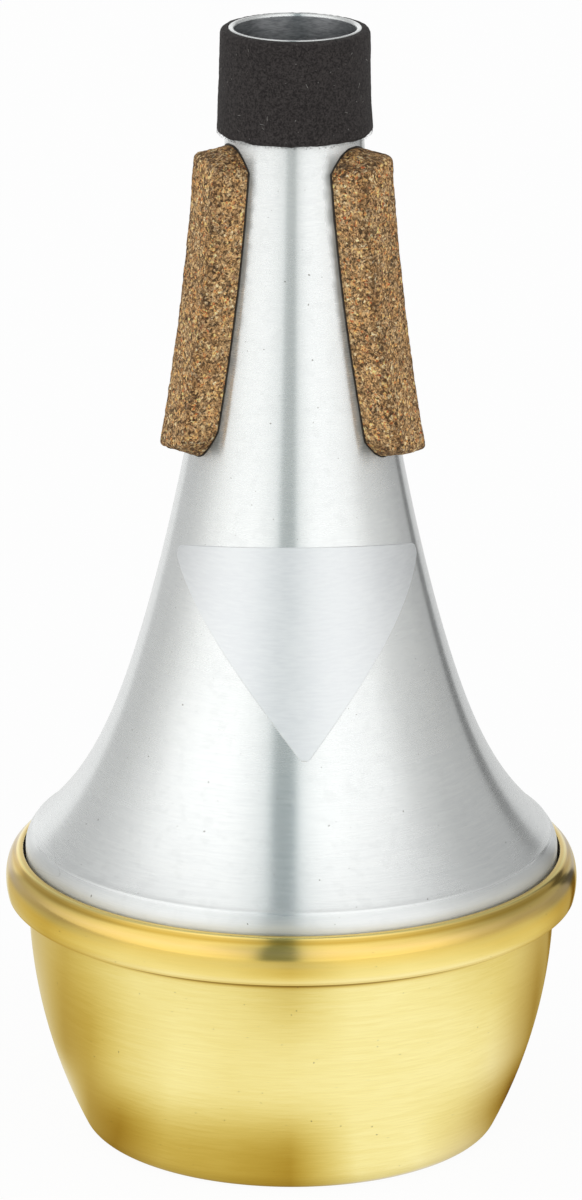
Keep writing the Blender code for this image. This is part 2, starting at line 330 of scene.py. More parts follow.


# Materials

# Painted shade on the brass, by height: darker towards the corner at its base and in a band just under the
# bead, where shade falls
BOWL_PAINTED_SHADE_BANDS = (
    (0.0000, (0.45, 0.40, 0.30)),
    (0.0008, (0.76, 0.73, 0.64)),
    (0.0025, (0.96, 0.95, 0.93)),
    (0.0045, (1.00, 1.00, 1.00)),
    (0.0352, (1.00, 1.00, 1.00)),
    (0.0360, (0.97, 0.95, 0.90)),
    (0.0363, (0.76, 0.66, 0.46)),
    (0.0365, (0.36, 0.26, 0.10)),
    (0.0378, (0.30, 0.22, 0.10)),
)
# Painted shade and highlights on the bead, by height: a dark line at the foot of its fold, darker bands on its
# upper half and in its groove, and a paler line along its top roll
BEAD_PAINTED_LIGHT_BANDS = (
    (0.03780, (0.24, 0.16, 0.06)),
    (0.03792, (0.92, 0.86, 0.72)),
    (0.03808, (0.84, 0.79, 0.68)),
    (0.03820, (0.94, 0.92, 0.87)),
    (0.03840, (1.00, 1.00, 1.00)),
    (0.03900, (0.99, 0.96, 0.80)),
    (0.04000, (0.95, 0.90, 0.69)),
    (0.04120, (0.93, 0.82, 0.49)),
    (0.04160, (0.91, 0.78, 0.43)),
    (0.04220, (0.77, 0.63, 0.37)),
    (0.04300, (0.80, 0.67, 0.50)),
    (0.04385, (0.80, 0.69, 0.42)),
    (0.04420, (0.65, 0.50, 0.19)),
    (0.04455, (0.70, 0.56, 0.28)),
    (0.04470, (0.95, 0.83, 0.56)),
    (0.04485, (1.00, 1.00, 0.85)),
    (0.04500, (0.87, 0.74, 0.49)),
)


def brushed_metal(
    name, color, tint, roughness, anisotropy, scratch_depth, painted_bands=(), edge=None, foot=None, metallic=1.0
):
    """Spun metal: fine brush lines around its axis, a few scratches and pits, painted shade and highlights by
    height, a painted pale reflection at its grazing edges, and painted shade beside the cork strips.
    """
    material, nodes = new_material(name)
    fine, place = ring_coordinates(nodes, 9.0, 6500.0)
    coarse, _ = ring_coordinates(nodes, 3.0, 1500.0)
    loose, _ = ring_coordinates(nodes, 0.7, 110.0)
    hair = nodes.noise(fine, 1.0, 2.0, 0.6)
    lines = nodes.noise(coarse, 1.0, 3.0, 0.7)
    patches = nodes.noise(place, 45.0, 3.0)
    brush = nodes.math("ADD", nodes.math("MULTIPLY", hair, 0.55), nodes.math("MULTIPLY", lines, 0.45))
    surface = nodes.mix(nodes.span(brush, 0.36, 0.64), (*tint, 1), (*color, 1))
    if edge:
        # Painted reflection: the colour turns pale where the surface faces away from the view
        facing = nodes.add("ShaderNodeLayerWeight", {"Blend": 0.5}).outputs["Facing"]
        surface = nodes.mix(nodes.span(facing, *edge), surface, (*PAINTED_EDGE_REFLECTION, 1))
    # Painted shade and highlights: the colour is multiplied by a tint that runs with height
    if painted_bands:
        height = nodes.add("ShaderNodeSeparateXYZ", {"Vector": place}).outputs["Z"]
        low, high = painted_bands[0][0], painted_bands[-1][0]
        share = nodes.span(height, low, high, smooth=False)
        stops = [((level - low) / (high - low), shade) for level, shade in painted_bands]
        surface = nodes.mix(1.0, surface, nodes.ramp(share, stops), blend="MULTIPLY")
    if foot:
        drift = nodes.noise(loose, 1.0, 1.0)
        close = nodes.math("ABSOLUTE", nodes.math("SUBTRACT", drift, 0.5))
        scratch = nodes.span(close, 0.0002, 0.0010, 1.0, 0.0)
        scratch = nodes.math("MULTIPLY", scratch, nodes.span(nodes.noise(place, 55.0, 1.0), 0.55, 0.62))
        surface = nodes.mix(nodes.math("MULTIPLY", scratch, 0.22), surface, (0.35, 0.35, 0.33, 1))
    pit = nodes.span(nodes.noise(place, PIT_SCALE, 0.0), PIT_LIMIT, PIT_LIMIT + 0.02)
    surface = nodes.mix(nodes.math("MULTIPLY", pit, 0.7), surface, (0.10, 0.08, 0.05, 1))
    if foot:
        # Painted shade beside the cork strips: the metal turns a dull dark grey there, and less metallic
        cork_shade = nodes.add("ShaderNodeAttribute", attribute_name="painted_cork_shade").outputs["Fac"]
        cork_shade = nodes.math("ADD", cork_shade, nodes.span(nodes.noise(place, 500.0, 2.0), 0.3, 0.7, -0.12, 0.12))
        cork_shade = nodes.span(cork_shade, 0.0, 1.0, 0.0, 0.92)
        surface = nodes.mix(cork_shade, surface, (0.20, 0.21, 0.20, 1))
        metallic = nodes.math("MULTIPLY", nodes.math("SUBTRACT", 1.0, cork_shade), metallic)
    rough = nodes.math("ADD", nodes.span(brush, 0.3, 0.7, -0.02, 0.02), roughness)
    rough = nodes.math("ADD", rough, nodes.span(patches, 0.35, 0.65, -0.015, 0.015))
    if foot:
        level = nodes.add("ShaderNodeSeparateXYZ", {"Vector": place}).outputs["Z"]
        rough = nodes.math("ADD", rough, nodes.span(level, *foot))
    bump = nodes.add("ShaderNodeBump", {"Strength": 1.0, "Distance": scratch_depth, "Height": hair})
    tangent = nodes.add("ShaderNodeTangent", direction_type="RADIAL", axis="Z")
    shader = nodes.add(
        "ShaderNodeBsdfPrincipled",
        {
            "Base Color": surface,
            "Metallic": metallic,
            "Roughness": rough,
            "Anisotropic": anisotropy,
            "Anisotropic Rotation": 0.25,
            "Normal": bump.outputs[0],
            "Tangent": tangent.outputs[0],
        },
    )
    close_material(nodes, shader)
    return material


def felt_material(name, color, light):
    """Dark pressed felt with specks of pale lint."""
    material, nodes = new_material(name)
    place = nodes.add("ShaderNodeTexCoord").outputs["Object"]
    fuzz = nodes.noise(place, 3600.0, 4.0, 0.75)
    clumps = nodes.noise(place, 1900.0, 3.0, 0.7)
    height = nodes.math("ADD", nodes.math("MULTIPLY", fuzz, 0.6), nodes.math("MULTIPLY", clumps, 0.4))
    shade = nodes.mix(nodes.span(height, 0.40, 0.60), (*color, 1), (*light, 1))
    hole = nodes.span(nodes.noise(place, 2900.0, 2.0), 0.58, 0.70)
    shade = nodes.mix(nodes.math("MULTIPLY", hole, 0.5), shade, (0.008, 0.007, 0.007, 1))
    lint = nodes.span(nodes.noise(place, 2500.0, 1.0), 0.76, 0.80)
    shade = nodes.mix(lint, shade, (0.20, 0.19, 0.18, 1))
    bump = nodes.add("ShaderNodeBump", {"Strength": 1.0, "Distance": 0.00012, "Height": height})
    shader = nodes.add(
        "ShaderNodeBsdfPrincipled",
        {
            "Base Color": shade,
            "Roughness": 0.95,
            "Specular IOR Level": 0.1,
            "Sheen Weight": 0.05,
            "Sheen Roughness": 0.6,
            "Normal": bump.outputs[0],
        },
    )
    close_material(nodes, shader)
    return material


CORK_STOPS = (
    (0.00, (0.040, 0.020, 0.008)),
    (0.12, (0.165, 0.084, 0.030)),
    (0.30, (0.350, 0.198, 0.078)),
    (0.50, (0.475, 0.285, 0.124)),
    (0.68, (0.580, 0.370, 0.178)),
    (0.80, (0.530, 0.400, 0.240)),
    (0.88, (0.800, 0.390, 0.115)),
    (0.95, (0.900, 0.600, 0.230)),
    (1.00, (0.980, 0.800, 0.480)),
)


def cork_material():
    """Agglomerated cork: pressed chips of many browns, coarser and pitted where it is worn, and darker on its
    cut ends with painted shade.
    """
    material, nodes = new_material("cork_granules")
    place = nodes.add("ShaderNodeTexCoord").outputs["Object"]
    worn = nodes.add("ShaderNodeAttribute", attribute_name="worn_arris").outputs["Fac"]
    end = nodes.add("ShaderNodeAttribute", attribute_name="cut_end").outputs["Fac"]
    coarse = nodes.math("MAXIMUM", worn, end)
    bend = nodes.add("ShaderNodeTexNoise", {"Vector": place, "Scale": 900.0, "Detail": 2.0})
    shift = nodes.add("ShaderNodeVectorMath", operation="SCALE")
    shift.inputs["Scale"].default_value = 0.0005
    nodes.feed(shift.inputs[0], nodes.vector("SUBTRACT", bend.outputs["Color"], (0.5, 0.5, 0.5)))
    warped = nodes.vector("ADD", place, shift.outputs[0])
    chips = nodes.add("ShaderNodeTexVoronoi", {"Vector": warped, "Scale": 2300.0})
    pick = nodes.add("ShaderNodeSeparateColor", {"Color": chips.outputs["Color"]}).outputs
    color = nodes.ramp(pick["Red"], CORK_STOPS)
    bits = nodes.add("ShaderNodeTexVoronoi", {"Vector": warped, "Scale": 4600.0})
    bit = nodes.add("ShaderNodeSeparateColor", {"Color": bits.outputs["Color"]}).outputs["Red"]
    dust = nodes.mix(nodes.math("MULTIPLY_ADD", coarse, -0.2, 0.25), color, (0.49, 0.325, 0.165, 1))
    tone = nodes.add("ShaderNodeCombineColor", {0: bit, 1: bit, 2: bit}).outputs[0]
    color = nodes.mix(0.80, dust, tone, blend="OVERLAY")
    drift = nodes.span(nodes.noise(place, 420.0, 3.0, 0.6), 0.40, 0.64)
    color = nodes.mix(nodes.math("MULTIPLY", drift, 0.5), color, (1.00, 0.82, 0.62, 1), blend="MULTIPLY")
    spot = nodes.span(nodes.noise(place, 900.0, 3.0, 0.6), 0.56, 0.66)
    spot = nodes.math("MULTIPLY", spot, nodes.math("MULTIPLY_ADD", coarse, 0.45, 0.25))
    color = nodes.mix(spot, color, (0.085, 0.062, 0.040, 1))
    mottle = nodes.noise(place, 2300.0, 3.0, 0.65)
    limit = nodes.math("MULTIPLY_ADD", coarse, 0.06, 0.41)
    hollow = nodes.math("MULTIPLY", nodes.math("SUBTRACT", limit, mottle), 14.0, clamp=True)
    color = nodes.mix(nodes.math("MULTIPLY", hollow, 0.85), color, (0.070, 0.036, 0.014, 1))
    # Painted shade on the cut ends: they are darkened partly for the shade on the end faces and partly for
    # their coarser cut
    color = nodes.mix(nodes.math("MULTIPLY", end, 0.26), color, (0.100, 0.055, 0.028, 1))
    color = nodes.mix(nodes.math("MULTIPLY", worn, 0.34), color, (0.120, 0.060, 0.024, 1))
    height = nodes.math("SUBTRACT", mottle, nodes.math("MULTIPLY", hollow, 0.5))
    height = nodes.math("ADD", height, nodes.math("MULTIPLY", bit, 0.2))
    bump = nodes.add("ShaderNodeBump", {"Strength": 0.9, "Distance": 0.00014, "Height": height})
    shader = nodes.add(
        "ShaderNodeBsdfPrincipled",
        {
            "Base Color": color,
            "Roughness": 0.82,
            "Specular IOR Level": 0.3,
            "Normal": bump.outputs[0],
        },
    )
    close_material(nodes, shader)
    return material


def label_material():
    material, nodes = new_material("blank_foil")
    grain, place = ring_coordinates(nodes, 9.0, 2600.0)
    lines = nodes.noise(grain, 1.0, 3.0, 0.6)
    cloud = nodes.noise(place, 120.0, 2.0)
    tone = nodes.math("ADD", nodes.math("MULTIPLY", lines, 0.6), nodes.math("MULTIPLY", cloud, 0.4))
    color = nodes.mix(nodes.span(tone, 0.35, 0.65), (0.795, 0.815, 0.825, 1), (0.855, 0.875, 0.88, 1))
    rough = nodes.span(tone, 0.3, 0.7, 0.40, 0.48)
    bump = nodes.add("ShaderNodeBump", {"Strength": 0.4, "Distance": 0.00001, "Height": lines})
    shader = nodes.add(
        "ShaderNodeBsdfPrincipled",
        {"Base Color": color, "Metallic": 0.72, "Roughness": rough, "Normal": bump.outputs[0]},
    )
    close_material(nodes, shader)
    return material


def dull_material(name, color, roughness):
    material, nodes = new_material(name)
    place = nodes.add("ShaderNodeTexCoord").outputs["Object"]
    grain = nodes.noise(place, 1800.0, 3.0)
    dark = tuple(0.6 * c for c in color)
    shade = nodes.mix(nodes.span(grain, 0.35, 0.65), (*dark, 1), (*color, 1))
    bump = nodes.add("ShaderNodeBump", {"Strength": 0.6, "Distance": 0.0001, "Height": grain})
    shader = nodes.add(
        "ShaderNodeBsdfPrincipled",
        {"Base Color": shade, "Roughness": roughness, "Normal": bump.outputs[0]},
    )
    close_material(nodes, shader)
    return material


# The body's outline

def body_radius(height):
    u = np.clip((RIM_HEIGHT - height) / FLARE_LENGTH, 0.0, None)
    swell = TAPER_SHARE * u**TAPER_POWER + (1 - TAPER_SHARE) * u**BELL_POWER
    return NECK_RADIUS + (FLARE_RADIUS - NECK_RADIUS) * swell


def body_slope(height):
    u = np.clip((RIM_HEIGHT - height) / FLARE_LENGTH, 0.0, None)
    taper = TAPER_SHARE * TAPER_POWER * u ** (TAPER_POWER - 1)
    bell = (1 - TAPER_SHARE) * BELL_POWER * u ** (BELL_POWER - 1)
    return (FLARE_RADIUS - NECK_RADIUS) * (taper + bell) / FLARE_LENGTH


def off_body(height, distance):
    slope = body_slope(height)
    length = math.hypot(1, slope)
    return body_radius(height) + distance / length, height + distance * slope / length


FLARE_ANGLE = math.atan(body_slope(FLARE_FOOT_HEIGHT))
SKIRT_RADIUS = FLARE_RADIUS + SHOULDER_RADIUS * (1 - math.cos(FLARE_ANGLE))
BEAD_EDGE_RADIUS = SKIRT_RADIUS + SEAM_OPENING
BEAD_RADIUS = BEAD_EDGE_RADIUS + BEAD_WIDTH
BEAD_FOOT_RADIUS = BEAD_RADIUS - BEAD_LEAN
BOWL_RADIUS = BEAD_RADIUS - SHELF_WIDTH


def arc(centre, radii, start, end, steps):
    angles = np.radians(np.linspace(start, end, steps + 1))
    return [
        (centre[0] + radii[0] * math.cos(a), centre[1] + radii[1] * math.sin(a))
        for a in angles
    ]


def add_object(name, bm, material, sharp=35):
    bmesh.ops.recalc_face_normals(bm, faces=bm.faces)
    mesh = bpy.data.meshes.new(name)
    bm.to_mesh(mesh)
    bm.free()
    mesh.shade_smooth()
    mesh.set_sharp_from_angle(angle=math.radians(sharp))
    mesh.materials.append(material)
    obj = bpy.data.objects.new(name, mesh)
    bpy.context.scene.collection.objects.link(obj)
    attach(obj, "root")
    return obj


def turned(name, profile, material, steps=ROUND_STEPS):
    """Spin a closed outline of (radius, height) points about the axis."""
    bm = bmesh.new()
    rings = []
    for radius, height in profile:
        if radius <= 0:
            rings.append([bm.verts.new((0, 0, height))])
            continue
        ring = []
        for i in range(steps):
            angle = math.tau * i / steps
            ring.append(bm.verts.new((radius * math.cos(angle), radius * math.sin(angle), height)))
        rings.append(ring)
    for low, high in zip(rings, rings[1:] + rings[:1]):
        if len(low) == len(high) == 1:
            continue
        for i in range(steps):
            j = (i + 1) % steps
            corners = [low[i % len(low)], low[j % len(low)], high[j % len(high)], high[i % len(high)]]
            bm.faces.new(list(dict.fromkeys(corners)))
    return add_object(name, bm, material)


def painted_cork_shade(place, bottom, top):
    """How much painted shade lies on the metal at a point beside the cork strips: it fades away from them."""
    best = 0.0
    for spec in CORKS.values():
        share = (place.z - bottom) / (top - bottom)
        centre = math.radians(spec["azimuth"] - spec["lean"] * (share - 0.5))
        turn = (math.atan2(place.y, place.x) - centre + math.pi) % math.tau - math.pi
        beside = abs(turn) * math.hypot(place.x, place.y) - CORK_WIDTH / 2
        beyond = max(bottom + CORK_CORNER - place.z, place.z - top + CORK_CORNER, 0.0)
        away = math.hypot(max(beside, 0.0), beyond)
        best = max(best, 1 - away / CORK_SHADE_REACH)
    return best


def make_body():
    """Neck, flare and skirt, with a rolled rim and the fine crease above the seam."""
    heights = RIM_HEIGHT - (1 - (1 - np.linspace(0, 1, 111)) ** 1.7) * FLARE_LENGTH
    edge = RIM_EDGE_RADIUS
    outside = arc((NECK_RADIUS - edge, RIM_HEIGHT - edge), (edge, edge), 90, 0, 4)
    for height in heights[1:]:
        rise = (height - FLARE_FOOT_HEIGHT) / CREASE_REACH
        outside.append(off_body(height, CREASE_HEIGHT * math.exp(-rise * rise)))
    centre = (SKIRT_RADIUS - SHOULDER_RADIUS, FLARE_FOOT_HEIGHT - SHOULDER_RADIUS * math.sin(FLARE_ANGLE))
    turn = math.degrees(FLARE_ANGLE)
    outside += arc(centre, (SHOULDER_RADIUS, SHOULDER_RADIUS), turn, 0, 14)[1:]
    flange_bottom = SHELF_HEIGHT + BOWL_WALL + 0.0001
    flange_top = flange_bottom + BODY_WALL
    flange_radius = BEAD_FOOT_RADIUS - BOWL_WALL - 0.0003
    outside += [(SKIRT_RADIUS, flange_top), (flange_radius, flange_top), (flange_radius, flange_bottom)]
    inner = SHOULDER_RADIUS - BODY_WALL
    lip = RIM_LIP_RADIUS
    inside = arc((NECK_RADIUS - RIM_LIP + lip, RIM_HEIGHT - lip), (lip, lip), 90, 180, 8)
    low_heights = [height for height in heights[1::2] if height < RIM_HEIGHT - RIM_LIP_DEPTH]
    inside += [off_body(height, -BODY_WALL) for height in low_heights]
    inside += arc(centre, (inner, inner), turn, 0, 8)[1:]
    inside += [(SKIRT_RADIUS - BODY_WALL, flange_bottom)]
    metal = brushed_metal(
        "brushed_aluminium", (0.885, 0.905, 0.895), (0.83, 0.85, 0.845), 0.26, 1.0, 0.0000018,
        foot=MATT_FOOT, metallic=HAZY_METAL,
    )
    body = turned("spun_body", outside + inside[::-1], metal)
    # Painted shade: the inside of the bore gets a darker metal colour than the outside, for the shade in the
    # hollow; it is also rougher
    shaded_bore_metal = brushed_metal("inner_aluminium", (0.48, 0.49, 0.50), (0.28, 0.29, 0.30), 0.40, 0.50, 0.00001)
    body.data.materials.append(shaded_bore_metal)
    for face in body.data.polygons:
        inwards = face.normal.x * face.center.x + face.normal.y * face.center.y < 0
        if inwards and face.center.z < RIM_HEIGHT - lip:
            face.material_index = 1
    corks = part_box("cork_rear")
    # Painted shade beside the cork strips, stored on each point of the body
    cork_shades = [painted_cork_shade(vertex.co, corks[0][2], corks[1][2]) for vertex in body.data.vertices]
    body.data.attributes.new("painted_cork_shade", "FLOAT", "POINT").data.foreach_set("value", cork_shades)
    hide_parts("cone_body")


def bowl_side(offset, side_steps, corner_steps):
    side = BOWL_SIDE_RADIUS - offset
    corner = BOWL_CORNER_RADIUS
    side_centre = (BOWL_RADIUS - BOWL_SIDE_RADIUS, SHELF_HEIGHT)
    reach = BOWL_SIDE_RADIUS - corner
    drop = SHELF_HEIGHT - corner
    corner_centre = (side_centre[0] + math.sqrt(reach**2 - drop**2), corner)
    turn = math.degrees(math.asin(drop / reach))
    points = arc(side_centre, (side, side), 0, -turn, side_steps)
    size = corner - offset
    return points + arc(corner_centre, (size, size), -turn, -90, corner_steps)[1:]


def bead_profile():
    """Bead: a thin roll at the top, a shallow groove, then the broad band and its fold."""
    centre = (BEAD_EDGE_RADIUS, SEAM_HEIGHT - BEAD_CROWN)
    lip = BEAD_LIP_RADIUS
    points = arc((BEAD_EDGE_RADIUS, SEAM_HEIGHT - lip), (lip, lip), 180, 90, 4)[:-1]
    for radius, height in arc(centre, (BEAD_WIDTH, BEAD_CROWN), 90, 0, 40):
        out = (height - centre[1]) / BEAD_CROWN
        side = (radius - centre[0]) / BEAD_WIDTH
        from_groove = (radius - BEAD_EDGE_RADIUS - BEAD_GROOVE_OUT) / BEAD_GROOVE_REACH
        groove = BEAD_GROOVE * math.exp(-(from_groove**2))
        points.append((radius - groove * side, height - groove * out))
    fold = BEAD_FOLD_RADIUS
    fold_centre = (BEAD_FOOT_RADIUS - fold, SHELF_HEIGHT + fold)
    top = points[-1]
    foot = (BEAD_FOOT_RADIUS, SHELF_HEIGHT + fold)
    for step in np.linspace(0, 1, 13)[1:-1]:
        swell = BEAD_BAND_SWELL * math.sin(math.pi * step)
        points.append((top[0] + (foot[0] - top[0]) * step + swell, top[1] + (foot[1] - top[1]) * step))
    return points + arc(fold_centre, (fold, fold), 0, -90, 8)


def make_bowl():
    """Brass bowl and its hollow bead, which is brighter than the bowl below it."""
    bead_centre = (BEAD_EDGE_RADIUS, SEAM_HEIGHT - BEAD_CROWN)
    outside = bead_profile()
    outside += bowl_side(0, 40, 10)
    outside += [(0, 0)]
    inside = arc(bead_centre, (BEAD_WIDTH - BOWL_WALL, BEAD_CROWN - BOWL_WALL), 90, 0, 10)
    shelf_top = SHELF_HEIGHT + BOWL_WALL
    inside += [(BEAD_FOOT_RADIUS - BOWL_WALL, shelf_top), (BOWL_RADIUS - BOWL_WALL, shelf_top)]
    inside += bowl_side(BOWL_WALL, 20, 6)[1:]
    inside += [(0, BOWL_WALL)]
    metal = brushed_metal(
        "brushed_brass", (1.0, 0.885, 0.40), (0.95, 0.82, 0.33), 0.20, 0.60, 0.000005, BOWL_PAINTED_SHADE_BANDS,
        edge=BOWL_EDGE_REFLECTION_FADE,
    )
    bowl = turned("spun_bowl", outside + inside[::-1], metal)
    polished = brushed_metal(
        "polished_brass", (1.0, 0.865, 0.40), (0.97, 0.83, 0.37), 0.14, 0.40, 0.000001, BEAD_PAINTED_LIGHT_BANDS,
        edge=BEAD_EDGE_REFLECTION_FADE,
    )
    bowl.data.materials.append(polished)
    lowest = SHELF_HEIGHT - 0.00001
    for face in bowl.data.polygons:
        centre = face.center
        if centre.z > lowest and math.hypot(centre.x, centre.y) > BOWL_RADIUS:
            face.material_index = 1
    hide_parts("bowl_bottom")


# The felt sleeve

def make_felt():
    """Felt sleeve: a soft, uneven skin with a wavy lower edge and loose fibres."""
    top = RIM_HEIGHT - FELT_SETBACK
    bottom = top - FELT_LENGTH
    edge = FELT_EDGE_RADIUS
    outer = [body_radius(top - edge) + FELT_THICKNESS - edge, top - edge]
    profile = arc(outer, (edge, edge), 90, 0, 6)
    heights = np.linspace(top - edge, bottom + edge, 46)
    profile += [(body_radius(h) + FELT_THICKNESS, h) for h in heights[1:-1]]
    foot = (body_radius(bottom + edge) + FELT_THICKNESS - edge * 0.6, bottom + edge * 0.6)
    profile += arc(foot, (edge * 0.6, edge * 0.6), 0, -90, 5)
    profile += [(body_radius(bottom) + 0.00003, bottom), (body_radius(top) + 0.00003, top)]
    felt = felt_material("black_felt_cloth", (0.019, 0.016, 0.016), (0.056, 0.049, 0.047))
    sleeve = turned("felt_sleeve", profile, felt, steps=240)
    for vertex in sleeve.data.vertices:
        place = vertex.co
        radius = math.hypot(place.x, place.y)
        if radius < body_radius(place.z) + 0.0001:
            continue
        out = Vector((place.x, place.y, 0)).normalized()
        fuzz = noise.noise(place * 1400) * 0.00005 + noise.noise(place * 350) * 0.00009
        low = max(0.0, 1 - (place.z - bottom) / (4 * MM))
        wave = noise.noise(Vector((out.x, out.y, 0)) * 3.2) * 0.0003
        wave += noise.noise(Vector((out.x, out.y, 0)) * 14) * 0.00012
        vertex.co = place + out * (fuzz + 0.0001 * low * low)
        vertex.co.z += wave * low
        if place.z > top - edge:
            vertex.co.z -= FELT_TOP_WAVE * abs(noise.noise(Vector((out.x, out.y, 0)) * 9))
            vertex.co -= out * FELT_TOP_WAVE * noise.noise(Vector((out.x, out.y, 3)) * 12)
    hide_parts("neck_sleeve")
    make_fibres(top, bottom)
    make_lint(top, bottom)


def make_fibres(top, bottom):
    """Short loose fibres on the felt, thicker along its cut lower edge."""
    chance = random.Random(41)
    bm = bmesh.new()
    for i in range(3600):
        at_edge = i % 3 == 0
        angle = chance.uniform(0, math.tau)
        height = chance.uniform(bottom - 0.0001, bottom + 0.0005)
        if not at_edge:
            height = chance.uniform(bottom, top - 0.0012)
        out = Vector((math.cos(angle), math.sin(angle), 0))
        side = Vector((-out.y, out.x, 0))
        start = out * (body_radius(height) + FELT_THICKNESS - 0.00008)
        start.z = height
        lean = chance.uniform(0, math.tau)
        along = side * math.cos(lean) + Vector((0, 0, math.sin(lean)))
        if at_edge:
            along = side * math.cos(lean) * 0.8 - Vector((0, 0, chance.uniform(0.2, 1)))
        length = chance.uniform(0.00015, 0.00045)
        lift = chance.uniform(0.00003, 0.00012)
        width = along.cross(out).normalized() * 0.000018
        points = [start, start + along * length * 0.5 + out * lift, start + along * length + out * lift * 0.6]
        rows = [(bm.verts.new(p - width), bm.verts.new(p + width)) for p in points]
        for (a, b), (c, d) in zip(rows, rows[1:]):
            bm.faces.new((a, b, d, c))
    fibre = felt_material("felt_fibre", (0.030, 0.027, 0.026), (0.070, 0.064, 0.062))
    fibres = add_object("felt_fibres", bm, fibre)


def make_lint(top, bottom):
    """A few pale hairs of lint caught on the felt."""
    chance = random.Random(12)
    bm = bmesh.new()
    for _ in range(LINT_HAIRS):
        angle = chance.uniform(0, math.tau)
        height = chance.uniform(bottom + MM, top - MM)
        heading = chance.uniform(0, math.tau)
        bend = chance.uniform(-1.2, 1.2)
        length = chance.uniform(0.15 * MM, 0.9 * MM)
        rows = []
        for share in np.linspace(0, 1, 7):
            turn = heading + bend * share
            radius = body_radius(height) + FELT_THICKNESS + 0.00007
            out = Vector((math.cos(angle), math.sin(angle), 0))
            side = Vector((-out.y, out.x, 0))
            across = (side * -math.sin(turn) + Vector((0, 0, math.cos(turn)))) * LINT_WIDTH / 2
            spot = out * radius + Vector((0, 0, height))
            rows.append((bm.verts.new(spot - across), bm.verts.new(spot + across)))
            angle += math.cos(turn) * length / 6 / radius
            height += math.sin(turn) * length / 6
        for (a, b), (c, d) in zip(rows, rows[1:]):
            bm.faces.new((a, b, d, c))
    pale = felt_material("pale_lint", (0.16, 0.15, 0.14), (0.34, 0.33, 0.31))
    lint = add_object("felt_lint", bm, pale)


# The cork strips

def rounded_box(half, cells):
    """Grid over a box whose edges are sharp at the seat, the low X side, and round beyond it."""
    bm = bmesh.new()
    bmesh.ops.create_cube(bm, size=2)
    for axis, count in enumerate(cells):
        for k in range(1, count):
            point = Vector((0, 0, 0))
            point[axis] = -1 + 2 * k / count
            normal = Vector((0, 0, 0))
            normal[axis] = 1
            geometry = bm.verts[:] + bm.edges[:] + bm.faces[:]
            bmesh.ops.bisect_plane(bm, geom=geometry, plane_co=point, plane_no=normal)
    for vertex in bm.verts:
        through = (vertex.co.x + 1) / 2
        radius = CORK_SEAT_EDGE_RADIUS + (CORK_EDGE_RADIUS - CORK_SEAT_EDGE_RADIUS) * through
        radii = (CORK_EDGE_RADIUS if vertex.co.x > 0 else CORK_SEAT_EDGE_RADIUS, radius, radius)
        full = [vertex.co[i] * half[i] for i in range(3)]
        core = [max(-half[i] + radii[i], min(half[i] - radii[i], full[i])) for i in range(3)]
        away = Vector([(full[i] - core[i]) / radii[i] for i in range(3)])
        away *= 1 / max(1.0, away.length)
        vertex.co = [core[i] + away[i] * radii[i] for i in range(3)]
    return bm


def cork_limits(spec, across, through):
    """How far the strip's ends are cut back at a place across and through it."""
    near = across * spec["near"]
    cuts = []
    for crest, seat_near, seat_far, face_near, face_far in spec["cuts"]:
        edge = seat_near if near > 0 else seat_far
        seat = crest + (edge - crest) * abs(near) ** CORK_SEAT_POWER
        face = (face_near + face_far) / 2 + (face_near - face_far) / 2 * near
        cuts.append((seat + (face - seat) * min(1.0, max(0.0, through))) * MM)
    return cuts


def cork_place(spec, across, through, share, top, bottom):
    """A point of the strip that faces +X: across -1 to 1, through 0 to 1, share 0 to 1 up."""
    cut_top, cut_bottom = cork_limits(spec, across, through)
    low = bottom + cut_bottom
    height = low + (top - cut_top - low) * share
    side = across * CORK_WIDTH / 2
    metal = body_radius(height) + CORK_GLUE
    seat = math.sqrt(metal**2 - side**2)
    face = metal + spec["thickness"] + spec["swell"] * (1 - share) - 0.0002 * across**2
    lean = math.radians(spec["lean"]) * (0.5 - share)
    return Matrix.Rotation(lean, 3, "Z") @ Vector((seat + (face - seat) * through, side, height))


def cork_wear(half, place):
    """How worn a point of the strip is: fully at its ends, and fading away from its long arrises."""
    depth, side, along = place
    off_face, off_side = half[0] - depth, half[1] - abs(side)
    arris = 1 - math.hypot(1.7 * off_face, off_side) / CORK_ARRIS_REACH
    end = 1 - (half[2] - abs(along)) / CORK_EDGE_RADIUS
    return max(0.0, min(1.0, arris)), max(0.0, min(1.0, end))


def make_cork(name, spec, material, top, bottom):
    """One cork strip, bent to the body, with worn edges and a granular skin."""
    half = (spec["thickness"] / 2, CORK_WIDTH / 2, (top - bottom) / 2)
    bm = rounded_box(half, (14, 30, 130))
    offset = Vector((spec["azimuth"], 7.3, 1.9))
    wear = [cork_wear(half, vertex.co) for vertex in bm.verts]
    for vertex in bm.verts:
        depth, side, along = vertex.co
        place = (side / half[1], (depth + half[0]) / (2 * half[0]), (along / half[2] + 1) / 2)
        vertex.co = cork_place(spec, *place, top, bottom)
    bm.normal_update()
    shifts = []
    for vertex, (arris, end) in zip(bm.verts, wear):
        through = math.hypot(vertex.co.x, vertex.co.y) - body_radius(vertex.co.z)
        fade = min(1.0, max(0.0, through / (0.8 * MM)))
        spot = vertex.co + offset
        rough = noise.noise(spot * 1100) * 0.00006 + noise.noise(spot * 420) * 0.00008
        rough += noise.noise(spot * 1500) * 0.00012 * max(arris, end)
        shifts.append(vertex.normal * rough * fade)
    for vertex, shift in zip(bm.verts, shifts):
        vertex.co += shift - vertex.normal * 0.00003
    cork = add_object("cork_strip_" + name, bm, material, sharp=60)
    for kind, values in zip(("worn_arris", "cut_end"), zip(*wear)):
        cork.data.attributes.new(kind, "FLOAT", "POINT").data.foreach_set("value", values)
    cork.rotation_euler.z = math.radians(spec["azimuth"])
    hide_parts("cork_" + name)
    return cork


